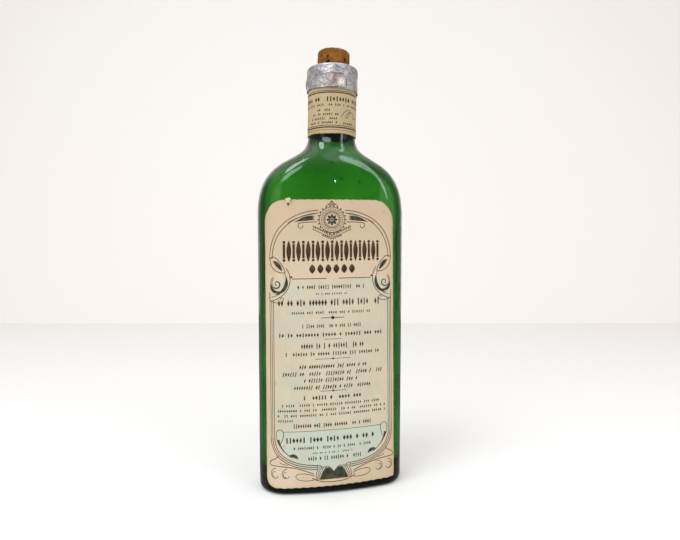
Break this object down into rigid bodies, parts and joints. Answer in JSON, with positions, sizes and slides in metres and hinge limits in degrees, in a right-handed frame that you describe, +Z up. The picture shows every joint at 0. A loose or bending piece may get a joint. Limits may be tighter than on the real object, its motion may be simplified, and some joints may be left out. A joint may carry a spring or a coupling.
{
  "type": "medicine bottle",
  "caption": "Antique flat-oval green glass medicine bottle with a paper front label, a paper neck band, a foil capsule round the lip and a cork that pulls out.",
  "frame": {"origin": "centre of the foot that the bottle stands on", "axes": "+Z up along the bottle's height, -Y out of the labelled front face, +X to the right as the label is read"},
  "size_m": [0.0748, 0.0339, 0.2201],
  "materials": {
    "green_glass": "clear dark green bottle glass, slightly wavy, with a few bubbles",
    "natural_cork": "natural cork with dark pits",
    "tin_foil": "dull soft lead-tin foil, creased and lapped",
    "band_paper": "aged uncoated paper, printed with plain rules and strokes",
    "label_paper": null
  },
  "bodies": {
    "bottle": {"glass_bottle": "green_glass", "foil_capsule": "tin_foil", "neck_label": "band_paper", "front_label": "label_paper"},
    "cork": {"cork_stopper": "natural_cork"}
  },
  "joints": [
    {"name": "cork_pull", "type": "slide", "parent": "bottle", "child": "cork", "axis": [0.0122, 0, 0.9999], "range_m": [0, 0.03]}
  ]
}
